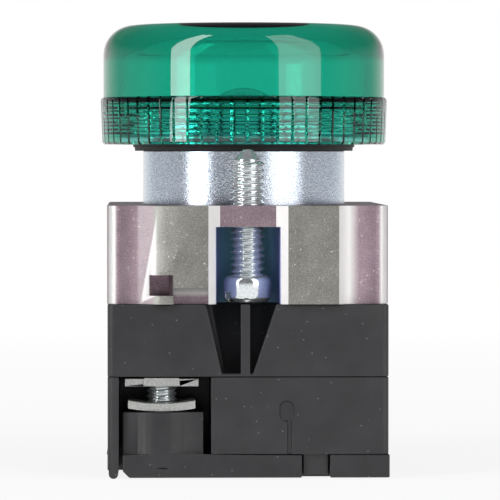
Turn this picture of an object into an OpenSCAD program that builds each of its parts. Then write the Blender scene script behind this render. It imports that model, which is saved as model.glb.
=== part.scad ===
// Panel pilot light for a 22 mm panel hole: a screw-on lens over a bayonet lamp, a metal
// head whose barrel passes through the panel, a die-cast fixing collar with its clamp screw,
// and a moulded lamp body with two saddle clamp terminals.
// Millimetres. Z = 0 is the panel's front face, +Z points to the lens, -Y is the clamp screw's end.

/* [Lens] */
// Diameter of the smooth cap
lens_d = 31.1; // [29:0.1:38]
// Height of the smooth cap above the ribbed rim
lens_h = 8.15; // [7:0.1:14]
// Wall of the cap's side
lens_wall = 2.05; // [1.2:0.05:2.4]
// Thickness of the cap's top
lens_top_wall = 1.7; // [1:0.1:2.5]
// Radius of the cap's upper edge
lens_fillet = 3.3; // [1:0.1:4]
// Rise of the slightly domed top
lens_crown = 0.25; // [0.1:0.05:1]
// How far the ribbed rim stands out past the cap
rim_lip = 0.3; // [0.1:0.05:1]
// Height of the ribbed rim
rim_h = 5.2; // [4:0.05:8]
// Draft of the rim, from its top to its bottom, on the radius
rim_draft = 0.17; // [0:0.01:0.3]
// Number of ribs round the rim
rib_count = 60; // [24:1:90]
// Depth of the grooves between the ribs
rib_depth = 0.25; // [0.1:0.05:0.5]
// Width of a groove between two ribs
rib_gap = 0.4; // [0.2:0.05:0.8]
// Thickness of the seal ring under the cap
seal_t = 0.7; // [0.5:0.05:1.2]

/* [Head] */
// Diameter of the barrel that passes through the panel
barrel_d = 22.3; // [20:0.1:24]
// Wall of the barrel
barrel_wall = 1.75; // [1.2:0.05:2.5]
// Height of the panel gasket that shows under the rim
gasket_h = 0.7; // [0.4:0.05:1.5]
// How far the gasket stands out past the barrel
gasket_w = 1.1; // [0.8:0.05:1.6]

/* [Collar] */
// Room for the panel between gasket and collar
panel_gap = 5.85; // [4:0.05:9]
// Width of the collar
collar_w = 30; // [29:0.5:40]
// Length of the collar over its end pads
collar_l = 40; // [39:0.5:50]
// Height of the collar
collar_h = 10.45; // [9.5:0.05:16]
// Radius of the collar's four corners
collar_corner = 1.54; // [0.5:0.02:3]
// Step from the raised end pads down to the corner flats
pad_step = 1.8; // [0.5:0.1:2.5]
// Step from the raised end pads down to the middle bridge
bridge_step = 1.0; // [0.3:0.1:1.5]
// Thickness of the bridge that the clamp screw is threaded through
bridge_h = 2.25; // [1.5:0.05:4]

/* [Clamp screw] */
// Diameter of the clamp screw's thread
clamp_d = 3.8; // [3:0.1:4.2]
// Diameter of the clamp screw's head
clamp_head_d = 5.2; // [4.5:0.1:5.8]
// Height of the clamp screw's head
clamp_head_h = 2.9; // [2:0.1:3.5]
// Length of the clamp screw's pointed tip
clamp_tip_h = 1.7; // [1:0.1:2.5]
// Width of the pocket round the clamp screw
pocket_w = 6.8; // [6.4:0.1:7.4]

/* [Body] */
// Height of the upper housing
upper_h = 7.7; // [7:0.1:12]
// Height of the lower housing
lower_h = 8.25; // [7.5:0.05:12]
// Height of the rear cover
cover_h = 2.5; // [1.5:0.1:4]
// How far the body stands back from the collar's end pads
body_set_back = 0.4; // [0.2:0.1:1]
// Wall beside each terminal niche
niche_wall = 1.2; // [0.8:0.1:1.6]
// Width of each terminal niche
niche_w = 9.8; // [9.4:0.1:10.6]
// Diameter of the hole that leads a driver to the clamp screw
driver_d = 4.8; // [4:0.1:5]

/* [Terminals] */
// Diameter of the terminal screw's thread
term_d = 3.4; // [3:0.1:3.8]
// Diameter of the terminal screw's head
term_head_d = 5.8; // [5:0.1:6]
// Outer diameter of the driver tube round a terminal screw
tube_d = 9.0; // [8.8:0.1:9.2]
// Width of the saddle clamp washer
saddle_w = 7.2; // [6.8:0.1:8]
// Thickness of the saddle clamp washer
saddle_t = 0.9; // [0.6:0.05:1.2]
// Thickness of the terminal plate
plate_t = 0.85; // [0.6:0.05:1.2]
// Width of the terminal plate
plate_w = 7.9; // [7:0.1:8.4]
// Travel of the clamp washer from open to tight
clamp_travel = 1.4; // [0.5:0.1:1.4]

/* [Lamp] */
// Diameter of the lamp's cap
cap_d = 9.2; // [8:0.1:9.6]
// Height of the lamp's cap
cap_h = 11.2; // [9:0.1:12]
// Diameter of the lamp's glass
glass_d = 9.8; // [8:0.1:10.4]
// Length of the lamp over all
lamp_l = 28; // [24:0.5:28.5]
// Sheet thickness of the bayonet sleeve
sleeve_t = 0.4; // [0.3:0.05:0.6]
// Depth below the panel's face of the lamp's end contact
lamp_depth = 21; // [20:0.5:21.5]
// Travel of the sprung contact
press_travel = 1; // [0.5:0.1:1.2]

/* [Hidden] */
$fn = 96;
EPS = 0.01;
PAST = 0.5;
// Gap at a parting line between two mouldings
SEAM = 0.05;
// Radial gap of a screw in its thread and of the barrel in the collar
RUN = 0.05;
// Gap round a piece that drops into a pocket
FREE = 0.1;

// ---- heights, from the lens down
rim_z = gasket_h;
step_z = rim_z + rim_h;
lens_top = step_z + lens_h;
collar_top = -panel_gap;
collar_bottom = collar_top - collar_h;
upper_top = collar_bottom - SEAM;
upper_bottom = collar_bottom - upper_h;
lower_top = upper_bottom - SEAM;
lower_bottom = upper_bottom - lower_h;
cover_top = lower_bottom - SEAM;
cover_bottom = lower_bottom - cover_h;
foot_bottom = cover_bottom - 0.1;

// ---- lens and head, on the radius
lens_r = lens_d / 2;
rim_r = lens_r + rim_lip;
cavity_r = lens_r - lens_wall;
thread_r = cavity_r + 0.55;
head_r = thread_r - FREE;
barrel_r = barrel_d / 2;
sunk_r = barrel_r - 0.2;
barrel_bore = barrel_r - barrel_wall;
head_z = gasket_h + 0.35;
head_top = step_z - 0.1 - seal_t - 2 * RUN;
barrel_end = -panel_gap - 0.1;
collar_ledge = 1.8;
barrel_bottom = collar_bottom + collar_ledge + FREE;
gasket_r = barrel_r + gasket_w;
neck_r = barrel_r - 0.3;

// ---- collar
collar_bore = sunk_r + 2 * RUN;
pad_y = collar_l / 2;
bridge_y = pad_y - bridge_step;
flat_y = pad_y - pad_step;
side_x = collar_w / 2;
pocket_r = pocket_w / 2;
bridge_x = pocket_r - 0.42;
pad_in = pocket_r + 0.84;
pad_out = side_x - 5.37;
flat_in = side_x - 3.46;
clamp_r = clamp_d / 2;
clamp_head_r = clamp_head_d / 2;
clamp_y = -(pad_y - 4.6);
clamp_top = 0.15;
clamp_travel_max = panel_gap + 0.15;
tower_r = barrel_bore - 0.7;
ring_t = 0.9;
ring_z = collar_bottom + collar_ledge + 1.4;
key_w = 2;
hook_x = side_x - 6;
hook_w = 4.6;
hook_t = 1.1;
core_y = flat_y - 1.5;
hook_y = core_y - FREE;
hook_top = collar_bottom + 5.4;
recess_x = -(side_x - 5.55);

// ---- body
body_x = side_x - 0.05;
body_y = pad_y - body_set_back;
body_corner = 0.7;
niche_x0 = -body_x + niche_wall;
niche_x1 = niche_x0 + niche_w;
term_x = niche_x0 + 4.55;
term_y = -(body_y - 4.4);
niche_depth = body_y + term_y + 4.8;
driver_r = driver_d / 2;
funnel_r = pocket_r + 0.5;
tube_r = tube_d / 2;
tube_top = lower_bottom + 4.45;
tube_x0 = niche_x0 + 0.4;
tube_x1 = tube_x0 + 8.6;
tube_y = body_y - 0.75;
head_bore = term_head_d / 2 + 0.2;
mouth_bore = head_bore + 0.2;

// ---- terminals
term_r = term_d / 2;
term_head_r = term_head_d / 2;
term_head_h = 1.9;
plate_top = lower_top - 0.2;
plate_bottom = plate_top - plate_t;
saddle_z = tube_top + 0.02;
saddle_sag = 0.35;
arm_w = 3;

// ---- lamp
cap_r = cap_d / 2;
glass_r = glass_d / 2;
cap_wall = 0.3;
tip_z = -lamp_depth;
tip_h = 0.8;
button_h = 1.0;
cap_z = tip_z + tip_h + button_h;
cap_top = cap_z + cap_h;
glass_top = tip_z + lamp_l;
pin_r = 0.95;
pin_z = tip_z + 6.7;
pin_reach = cap_r + 0.85;
sleeve_in = cap_r + 0.15;
sleeve_r = sleeve_in + sleeve_t;
sleeve_top = cap_top - 0.5;
sleeve_bottom = cap_z - 0.3;
slot_w = 2 * pin_r + 0.3;
way_z = pin_z - pin_r - press_travel - 0.2;
turn_deg = 40;
holder_in = sleeve_r + RUN;
holder_r = tower_r - 1.7;
holder_top = sleeve_top + 0.6;
flange_h = 1.5;
flange_r = holder_r + 1.3;
floor_top = plate_bottom;
floor_h = 1.2;
plunger_r = 2.4;
plunger_z = tip_z - 0.05;
plunger_h = 0.95;
stem_r = 0.9;
stem_end = floor_top - floor_h - 1;
spring_top = plunger_z - plunger_h;
spring_wire = 0.36;
spring_r = 1.75;
spring_turns = 4;
spring_sides = 6;
spring_steps = 18;

// ---- shared shapes

// Points of an arc about (cx, cy), from angle a0 to a1 in steps of about 6 degrees
function arc(cx, cy, r, a0, a1) =
    let (n = max(3, ceil(abs(a1 - a0) / 6)))
    [for (i = [0:n]) let (a = a0 + (a1 - a0) * i / n) [cx + r * cos(a), cy + r * sin(a)]];

// A ring with a rectangular section, from z0 up to z1
module tube(r_out, r_in, z0, z1) {
    rotate_extrude() translate([r_in, z0]) square([r_out - r_in, z1 - z0]);
}

// A block given by its lowest and highest corners
module block(low, high) {
    translate(low) cube([for (i = [0:2]) high[i] - low[i]]);
}

// A rectangle about the origin with rounded corners, from z0 up to z1
module slab(x, y, r, z0, z1) {
    points = concat(
        arc(x - r, y - r, r, 0, 90), arc(r - x, y - r, r, 90, 180),
        arc(r - x, r - y, r, 180, 270), arc(x - r, r - y, r, 270, 360));
    translate([0, 0, z0]) linear_extrude(z1 - z0) polygon(points);
}

// A cross recess for a driver, cut upwards from z
module cross_recess(z, width, depth) {
    for (turn = [0, 90]) rotate(turn)
        block([-width / 2, -0.5, z - PAST], [width / 2, 0.5, z + depth]);
}

// The same child again, half a turn round the object's axis
module both_ends() {
    children();
    rotate(180) children();
}

// ---- lens

module lens() {
    crown_r = (pow(lens_r - lens_fillet, 2) + pow(lens_crown, 2)) / (2 * lens_crown);
    lean = asin((lens_r - lens_fillet) / crown_r);
    edge_z = lens_top - lens_crown - lens_fillet;
    inner_fillet = max(0.5, lens_fillet - lens_top_wall);
    inner_top = lens_top - lens_crown - lens_top_wall;
    outline = concat(
        [[thread_r + 0.25, rim_z], [rim_r - rim_draft - 0.25, rim_z],
         [rim_r - rim_draft, rim_z + 0.25], [rim_r, step_z - 0.2],
         [rim_r - 0.2, step_z], [lens_r, step_z + 0.08]],
        arc(lens_r - lens_fillet, edge_z, lens_fillet, 0, 90 - lean),
        arc(0, lens_top - crown_r, crown_r, 90 - lean, 90),
        [[0, inner_top + 0.1]],
        arc(cavity_r - inner_fillet, inner_top - inner_fillet, inner_fillet, 90, 0),
        [[cavity_r, step_z - 0.1], [thread_r, step_z - 0.1], [thread_r, rim_z + 0.25]]);
    color("#1a9b82", 0.75) difference() {
        rotate_extrude($fn = 180) polygon(outline);
        for (i = [0:rib_count - 1]) rotate(i * 360 / rib_count) rib_groove();
    }
}

// One groove between two ribs, leaning with the rim's draft
module rib_groove() {
    lean = atan(rim_draft / rim_h);
    translate([rim_r - rim_draft - rib_depth, 0, rim_z - PAST])
        rotate([0, lean, 0])
            linear_extrude(rim_h + PAST - 0.15)
                polygon([[0, 0], [rib_depth + PAST, -rib_gap * (0.5 + PAST / rib_depth / 2)],
                         [rib_depth + PAST, rib_gap * (0.5 + PAST / rib_depth / 2)]]);
}

module lens_seal() {
    z = head_top + RUN;
    color("#202020") rotate_extrude()
        polygon([[thread_r - 1.5, z], [thread_r - 0.3, z], [thread_r - 0.3, z + seal_t - 0.1],
                 [thread_r - 0.5, z + seal_t], [thread_r - 1.3, z + seal_t],
                 [thread_r - 1.5, z + seal_t - 0.2]]);
}

// ---- head

module head_body() {
    outline = [
        [barrel_bore, barrel_bottom], [sunk_r - 0.4, barrel_bottom], [sunk_r, barrel_bottom + 0.4],
        [sunk_r, barrel_end], [barrel_r, barrel_end], [barrel_r, 0], [neck_r, 0], [neck_r, head_z],
        [head_r - 0.3, head_z], [head_r, head_z + 0.3], [head_r, head_top - 0.3],
        [head_r - 0.3, head_top], [barrel_bore + 1.6, head_top],
        [barrel_bore, head_top - 1.6]];
    color("#b9c2cc") difference() {
        rotate_extrude($fn = 144) polygon(outline);
        // key slot at the back, which stops the head from turning in the collar
        block([-key_w / 2 - FREE, sunk_r - 0.6, barrel_bottom - PAST],
              [key_w / 2 + FREE, sunk_r + PAST, barrel_end - 1.5]);
    }
}

module panel_gasket() {
    color("#1c1c1c") rotate_extrude($fn = 144)
        polygon([[barrel_r + 0.1, 0], [gasket_r - 0.2, 0], [gasket_r - 0.15, gasket_h * 0.6],
                 [gasket_r, gasket_h * 0.6], [gasket_r, gasket_h], [head_r - 0.6, gasket_h],
                 [head_r - 0.6, head_z - RUN], [neck_r + RUN, head_z - RUN],
                 [neck_r + RUN, 0.3]]);
}

module retaining_ring() {
    color("#9aa0a6") difference() {
        tube(collar_bore + ring_t, collar_bore, ring_z, ring_z + ring_t);
        block([-1.5, -collar_bore - 2, ring_z - 1], [1.5, -collar_bore + 2, ring_z + 2]);
    }
}

// ---- collar

// One end of the collar's outline, from its left side to its right side at the screw's end
function collar_end() = concat(
    arc(collar_corner - side_x, collar_corner - flat_y, collar_corner, 180, 270),
    [[-flat_in, -flat_y], [-pad_out, -pad_y], [-pad_in, -pad_y], [-bridge_x, -bridge_y],
     [bridge_x, -bridge_y], [pad_in, -pad_y], [pad_out, -pad_y], [flat_in, -flat_y]],
    arc(side_x - collar_corner, collar_corner - flat_y, collar_corner, 270, 360));

module fixing_collar() {
    end = collar_end();
    low = collar_bottom;
    color("#8c878b") difference() {
        union() {
            difference() {
                translate([0, 0, low]) linear_extrude(collar_h)
                    polygon(concat(end, [for (p = end) -p]));
                // bore for the barrel, with a lead-in and a ledge at the bottom
                rotate_extrude($fn = 144) polygon([
                    [0, low - PAST], [barrel_bore - 0.2, low - PAST],
                    [barrel_bore - 0.2, low + collar_ledge], [collar_bore, low + collar_ledge],
                    [collar_bore, collar_top - 0.5], [collar_bore + 0.5, collar_top],
                    [collar_bore + 0.5, collar_top + PAST], [0, collar_top + PAST]]);
            }
            // key that the barrel's slot slides on
            block([-key_w / 2, collar_bore - 0.45, low + collar_ledge - EPS],
                  [key_w / 2, collar_bore + 0.3, collar_top - 2.2]);
        }
        tube(collar_bore + ring_t + 0.15, collar_bore - 0.3, ring_z - 0.1, ring_z + ring_t + 0.1);
        clamp_pocket();
        // threaded hole through the bridge
        translate([0, clamp_y, collar_top - bridge_h - PAST])
            cylinder(r = clamp_r + RUN, h = bridge_h + 2 * PAST, $fn = 64);
        for (x = [-1, 1], y = [-1, 1]) scale([x, y, 1]) corner_pocket();
        casting_marks();
    }
}

// Half-round pocket that the clamp screw stands in, open to the end face
module clamp_pocket() {
    high = collar_top - bridge_h;
    low = collar_bottom - PAST;
    translate([0, clamp_y, low]) cylinder(r = pocket_r, h = high - low);
    block([-pocket_r, -pad_y - PAST, low], [pocket_r, clamp_y, high]);
}

// Cored pocket under one corner, with the undercut that a housing hook catches in
module corner_pocket() {
    low = collar_bottom - PAST;
    difference() {
        block([hook_x - hook_w / 2 - FREE, 0, low],
              [side_x - 1.6, core_y, collar_top - bridge_h - 0.2]);
        translate([0, 0, low - 1]) cylinder(r = collar_bore + ring_t + 1.1, h = collar_h + 3);
    }
    block([hook_x - hook_w / 2 - FREE, core_y - 1, hook_top - 1.3],
          [hook_x + hook_w / 2 + FREE, core_y + 0.6, hook_top + 0.2]);
}

// Square recess and cut-back pad at the lower left of the screw's end
module casting_marks() {
    low = collar_bottom;
    block([recess_x - 1.05, -pad_y - PAST, low + 0.9], [recess_x + 1.05, -flat_y + 1, low + 3.1]);
    translate([0, 0, low + 0.9]) linear_extrude(2.2)
        polygon([[recess_x + 1, -pad_y - EPS], [recess_x + 1.5, -pad_y - EPS],
                 [recess_x + 1, -pad_y + 1.2]]);
    block([recess_x + 1.5, -pad_y - PAST, low - PAST], [-pad_in - EPS, -flat_y - 0.5, low + 1.75]);
}

module clamp_screw() {
    base = collar_bottom + 0.1;
    shank = base + clamp_head_h;
    neck = clamp_top - clamp_tip_h;
    outline = concat(
        [[0, base], [clamp_head_r - 0.5, base], [clamp_head_r, base + 0.45]],
        arc(clamp_head_r - 0.8, shank - 0.8, 0.8, 0, 90),
        [[clamp_r, shank], [clamp_r, neck - 0.3], [clamp_r - 0.3, neck], [clamp_r * 0.7, neck]],
        arc(0, clamp_top - 0.4, 0.4, 30, 90));
    color("#c4c9ce") translate([0, clamp_y, 0]) difference() {
        rotate_extrude($fn = 64) polygon(outline);
        rotate(35) cross_recess(base, 3.6, 1.5);
        // plain slot across the head
        rotate(35) block([-clamp_head_r - PAST, -0.45, base - PAST],
                         [clamp_head_r + PAST, 0.45, base + 1.1]);
    }
}

// ---- mouldings of the body

module housing_upper() {
    color("#38383a") difference() {
        union() {
            slab(body_x, body_y, body_corner, upper_bottom, upper_top);
            // tower that stands up inside the barrel
            tube(tower_r, holder_r, upper_bottom, holder_top + 1);
            for (x = [-1, 1], y = [-1, 1]) scale([x, y, 1]) collar_hook();
        }
        // seat of the lamp holder
        translate([0, 0, upper_bottom - PAST])
            cylinder(r = holder_r + RUN, h = holder_top + 2 - upper_bottom);
        translate([0, 0, upper_bottom - PAST])
            cylinder(r = flange_r + RUN, h = flange_h + PAST + RUN);
        clamp_funnel();
        // relief for the tip of each terminal screw
        both_ends() translate([term_x, term_y, upper_bottom - PAST])
            cylinder(r = term_r + 0.4, h = clamp_travel + 0.6 + PAST);
        for (x = [-1, 1], y = [-1, 1]) scale([x, y, 1]) upper_core();
    }
    funnel_bar();
}

// Snap hook that holds the upper housing in the collar
module collar_hook() {
    translate([hook_x - hook_w / 2, 0, 0]) rotate([90, 0, 90]) linear_extrude(hook_w)
        polygon([[hook_y - hook_t, upper_top - 0.5], [hook_y, upper_top - 0.5],
                 [hook_y, hook_top - 1.2], [hook_y + 0.5, hook_top - 1.2],
                 [hook_y, hook_top], [hook_y - hook_t, hook_top]]);
}

// Cored space inside the upper housing beside the tower
module upper_core() {
    difference() {
        block([8, 4.5, upper_bottom - PAST], [body_x - 1.6, 10.2, upper_top - 1.6]);
        translate([0, 0, upper_bottom - 1]) cylinder(r = flange_r + 1.2, h = upper_h);
    }
}

// Tapered space that the clamp screw's head sinks into, open through the end wall
module clamp_funnel() {
    translate([0, clamp_y, upper_bottom - EPS])
        cylinder(r1 = driver_r, r2 = funnel_r, h = upper_h + 2 * EPS);
    translate([0, clamp_y, upper_bottom - PAST]) cylinder(r = driver_r, h = upper_h);
    translate([0, clamp_y + 0.5, 0]) rotate([90, 0, 0]) linear_extrude(body_y + clamp_y + 2)
        polygon([[-funnel_r - 0.6, upper_top + EPS], [funnel_r - 0.9, upper_top + EPS],
                 [0.5, upper_bottom + 0.3], [-2.8, upper_bottom + 0.3]]);
}

// Narrow bar that stands in the funnel's opening, flush with the end wall
module funnel_bar() {
    color("#38383a") block([-0.8, -body_y, upper_bottom + 0.2], [0.2, -body_y + 0.9, upper_top]);
}

module housing_lower() {
    color("#333335") difference() {
        union() {
            slab(body_x, body_y, body_corner, lower_bottom, lower_top);
            both_ends() niche_column();
            both_ends() cover_tongue();
        }
        both_ends() niche();
        // room for the lamp holder and the terminal arms
        block([-body_x + 2, -body_y + niche_depth + 1.2, lower_bottom - PAST],
              [body_x - 2, body_y - niche_depth - 1.2, lower_top + PAST]);
        both_ends() arm_channel();
        translate([0, clamp_y, lower_bottom - PAST])
            cylinder(r = driver_r, h = lower_h + 2 * PAST, $fn = 64);
        gate_mark();
    }
}

// Space of one terminal, open to the end face and to the rear
module niche() {
    block([niche_x0, -body_y - PAST, foot_bottom - PAST],
          [niche_x1, -body_y + niche_depth, lower_top + PAST]);
}

// Slot that lets a terminal plate's arm into the body
module arm_channel() {
    block([term_x - arm_w / 2 - FREE, -body_y + niche_depth - PAST, plate_bottom - FREE],
          [term_x + arm_w / 2 + FREE, -body_y + niche_depth + 2, lower_top + PAST]);
}

// Outer wall of a niche, which runs down past the cover as a foot with a rounded end
module niche_column() {
    low = foot_bottom;
    intersection() {
        translate([0, -body_y + niche_depth + 1, 0]) rotate([90, 0, 0])
            linear_extrude(niche_depth + 1)
                polygon(concat(
                    [[-body_x, lower_bottom + 1], [-body_x + 0.12, low + 0.6]],
                    arc(-body_x + 0.62, low + 0.5, 0.5, 190, 350),
                    [[niche_x0, low + 1], [niche_x0, lower_bottom + 1]]));
        slab(body_x, body_y, body_corner, low - PAST, lower_bottom + 2);
    }
}

// Snap tongue that shows in the rear cover's notch
module cover_tongue() {
    block([5.85, -body_y + 0.5, cover_bottom + 0.3], [8.55, -body_y + 1.6, lower_bottom + 1]);
}

// Keyhole mark left by the moulding gate, in the end face
module gate_mark() {
    translate([4.1, -body_y + 0.12, 0]) rotate([90, 0, 0]) linear_extrude(1) union() {
        translate([0, lower_top - 3.3]) circle(r = 0.75, $fn = 32);
        translate([0, lower_top - 3.9]) circle(r = 0.75, $fn = 32);
        translate([0.1, lower_bottom - 1]) square([0.35, lower_h - 3]);
    }
}

module rear_cover() {
    outline = [
        [tube_x0, -body_y], [side_x + 0.05, -body_y], [side_x + 0.05, body_y - niche_depth - 1.4],
        [-tube_x0, body_y - niche_depth - 1.4], [-tube_x0, body_y], [-side_x - 0.05, body_y],
        [-side_x - 0.05, niche_depth + 1.4 - body_y], [tube_x0, niche_depth + 1.4 - body_y]];
    color("#303032") difference() {
        union() {
            translate([0, 0, cover_bottom]) linear_extrude(cover_top - cover_bottom)
                polygon(outline);
            both_ends() driver_tube();
        }
        both_ends() {
            translate([term_x, term_y, cover_bottom - PAST])
                cylinder(r = mouth_bore, h = cover_h + 1.45 + PAST, $fn = 72);
            translate([term_x, term_y, cover_bottom])
                cylinder(r = head_bore, h = tube_top - cover_bottom + PAST, $fn = 72);
            // notch for the snap tongue
            block([5.7, -body_y - PAST, cover_bottom - PAST], [8.7, -body_y + 1.8, cover_top + PAST]);
            // chamfered lower corner beside the niche's foot
            translate([tube_x0, -body_y - PAST, cover_bottom]) rotate([0, 45, 0])
                translate([-0.5, 0, -0.5]) cube([1, niche_depth + 2.4, 1]);
        }
        translate([0, clamp_y, cover_bottom - PAST])
            cylinder(r = driver_r, h = cover_h + 2 * PAST, $fn = 64);
    }
}

// Block with a driver tube that rises into a niche
module driver_tube() {
    back = -body_y + niche_depth - 0.4;
    intersection() {
        block([tube_x0, -body_y - 0.05, cover_bottom + 1], [tube_x1, back, tube_top]);
        union() {
            block([tube_x0, -tube_y, cover_bottom], [tube_x1, back + 1, tube_top + 1]);
            translate([term_x, term_y, cover_bottom])
                cylinder(r = tube_r, h = tube_top + 1 - cover_bottom);
        }
    }
}

// ---- terminals

// Stamped plate with a threaded hole, a raised front tab and an arm towards the lamp holder
module terminal_plate(arm_end) {
    front = -body_y + 0.9;
    back = -body_y + niche_depth - 0.6;
    tab = 3.7;
    color("#c9cdc8") difference() {
        union() {
            block([term_x - plate_w / 2, front + 0.6, plate_bottom],
                  [term_x + plate_w / 2, back, plate_top]);
            block([term_x - tab / 2, front, plate_bottom + 0.1],
                  [term_x + tab / 2, front + 2, plate_top + 0.12]);
            block([term_x - arm_w / 2, back - 1, plate_bottom],
                  [term_x + arm_w / 2, -4, plate_top]);
            block([term_x - arm_w / 2, -4 - arm_w, plate_bottom], [arm_end, -4, plate_top]);
        }
        translate([term_x, term_y, plate_bottom - PAST])
            cylinder(r = term_r + RUN, h = plate_t + 2 * PAST, $fn = 48);
    }
}

module terminal_plate_1() {
    color("#c9cdc8") difference() {
        terminal_plate(-1);
        translate([0, 0, plate_bottom - PAST]) cylinder(r = sleeve_r + 0.02, h = plate_t + 2 * PAST);
    }
}

module terminal_plate_2() {
    rotate(180) difference() {
        union() {
            terminal_plate(0);
            color("#c9cdc8") translate([0, 0, plate_bottom]) cylinder(r = 2.9, h = plate_t);
            color("#c9cdc8") block([-arm_w, -4.5, plate_bottom], [0, -1, plate_top]);
        }
        translate([0, 0, plate_bottom - PAST]) cylinder(r = stem_r + 0.2, h = plate_t + 2 * PAST);
    }
}

// Saddle-shaped washer: a sagging strip with a clearance hole
module clamp_washer() {
    half = saddle_w / 2;
    bow = (half * half + saddle_sag * saddle_sag) / (2 * saddle_sag);
    lean = asin(half / bow);
    color("#d3d5d6") translate([term_x, term_y, 0]) difference() {
        translate([0, half, 0]) rotate([90, 0, 0]) linear_extrude(saddle_w)
            polygon(concat(
                arc(0, saddle_z + bow, bow, 270 - lean, 270 + lean),
                arc(0, saddle_z + saddle_t + bow, bow, 270 + lean, 270 - lean)));
        translate([0, 0, saddle_z - PAST])
            cylinder(r = term_r + 0.15, h = saddle_t + saddle_sag + 2 * PAST, $fn = 48);
    }
}

module clamp_washer_1() { clamp_washer(); }

module clamp_washer_2() { rotate(180) clamp_washer(); }

module terminal_screw() {
    head_z1 = saddle_z - 0.03;
    base = head_z1 - term_head_h;
    tip = plate_top - 0.1;
    outline = concat(
        [[0, base], [term_head_r - 0.6, base]],
        arc(term_head_r - 0.6, base + 0.6, 0.6, 270, 360),
        [[term_head_r, head_z1], [term_r, head_z1], [term_r, tip - 0.4], [term_r - 0.4, tip],
         [0, tip]]);
    color("#b7c4c6") translate([term_x, term_y, 0]) difference() {
        rotate_extrude($fn = 64) polygon(outline);
        rotate(20) cross_recess(base, 3.6, 1.2);
    }
}

module terminal_screw_1() { terminal_screw(); }

module terminal_screw_2() { rotate(180) terminal_screw(); }

// ---- lamp holder

module lamp_holder() {
    low = floor_top - floor_h;
    cup_r = holder_in + 1.1;
    outline = [
        [0, low], [cup_r, low], [cup_r, upper_bottom], [flange_r, upper_bottom],
        [flange_r, upper_bottom + flange_h], [holder_r, upper_bottom + flange_h],
        [holder_r, holder_top], [pin_reach + FREE, holder_top], [pin_reach + FREE, way_z - 0.5],
        [holder_in, way_z - 0.8], [holder_in, floor_top], [0, floor_top]];
    color("#4a4a4c") difference() {
        rotate_extrude() polygon(outline);
        translate([0, 0, low - PAST]) cylinder(r = stem_r + RUN, h = floor_h + 2 * PAST, $fn = 48);
        // openings for the arms of the two terminal plates
        both_ends() block([-body_x, -4 - arm_w - FREE, plate_bottom],
                          [0.5, -4 + FREE, plate_top + FREE]);
    }
}

// The lamp's two J-shaped pin ways, cut between two radii
module bayonet_slots(r_in, r_out) {
    low = way_z;
    high = pin_z + pin_r + 0.15;
    spread = asin(slot_w / 2 / r_in);
    both_ends() {
        rotate(turn_deg) intersection() {
            block([r_in / 2, -slot_w / 2, pin_z], [r_out + 1, slot_w / 2, holder_top + 1]);
            tube(r_out, r_in, low - 1, holder_top + 2);
        }
        rotate(-spread - 1) translate([0, 0, low])
            rotate_extrude(angle = turn_deg + 2 * spread + 2)
                translate([r_in, 0]) square([r_out - r_in, high - low]);
    }
}

module bayonet_sleeve() {
    // half the angle of the leg that reaches down to the first terminal plate's arm
    leg = 14;
    low = plate_bottom + RUN;
    color("#cfd2cc") difference() {
        tube(sleeve_r, sleeve_in, low, sleeve_top);
        rotate(-125 + leg) rotate_extrude(angle = 360 - 2 * leg)
            translate([sleeve_in - 0.5, low - 1])
                square([sleeve_t + 1, sleeve_bottom - low + 1]);
        bayonet_slots(sleeve_in - 0.5, sleeve_r + 0.5);
    }
}

module contact_plunger() {
    color("#c8a45a") union() {
        rotate_extrude($fn = 64) polygon([
            [0, stem_end], [stem_r - 0.2, stem_end], [stem_r, stem_end + 0.2],
            [stem_r, spring_top], [plunger_r, spring_top], [plunger_r, plunger_z - 0.3],
            [plunger_r - 0.3, plunger_z], [0, plunger_z]]);
    }
}

// Points of the spring wire's section at step i of the coil
function spring_ring(i, length) =
    let (turn = 360 * i / spring_steps,
         z = plate_top + spring_wire / 2 + 0.02
             + (length - spring_wire - 0.04) * i / (spring_turns * spring_steps))
    [for (k = [0:spring_sides - 1])
        let (a = 360 * k / spring_sides, r = spring_r + spring_wire / 2 * cos(a))
        [r * cos(turn), r * sin(turn), z + spring_wire / 2 * sin(a)]];

module contact_spring() {
    length = spring_top - plate_top;
    last = spring_turns * spring_steps;
    n = spring_sides;
    points = [for (i = [0:last]) each spring_ring(i, length)];
    sides = [for (i = [0:last - 1], k = [0:n - 1])
        [i * n + k, (i + 1) * n + k, (i + 1) * n + (k + 1) % n, i * n + (k + 1) % n]];
    ends = [[for (k = [0:n - 1]) k], [for (k = [0:n - 1]) last * n + n - 1 - k]];
    color("#b8bdc2") polyhedron(points, concat(sides, ends));
}

// ---- lamp

module lamp_cap() {
    color("#d0c38a") union() {
        rotate_extrude() polygon([
            [cap_r - 1.2, cap_z], [cap_r - 0.3, cap_z], [cap_r, cap_z + 0.3],
            [cap_r, cap_top - 0.3], [cap_r - 0.1, cap_top], [cap_r - cap_wall, cap_top],
            [cap_r - cap_wall, cap_z + 0.6], [cap_r - 1.2, cap_z + 0.3]]);
        both_ends() translate([cap_r - 0.2, 0, pin_z]) rotate([0, 90, 0])
            cylinder(r = pin_r, h = pin_reach - cap_r + 0.2, $fn = 32);
    }
}

module lamp_button() {
    color("#1d1b1a") rotate_extrude() polygon([
        [0, tip_z + tip_h], [2.6, tip_z + tip_h], [cap_r - 1.25, cap_z - 0.1],
        [cap_r - 1.25, cap_z + 0.3], [0, cap_z + 0.3]]);
}

module lamp_tip() {
    color("#b9b9b9") rotate_extrude() polygon(concat(
        [[0, tip_z]], arc(1.7, tip_z + 0.5, 0.5, 270, 360), [[2.2, tip_z + tip_h], [0, tip_z + tip_h]]));
}

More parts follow.
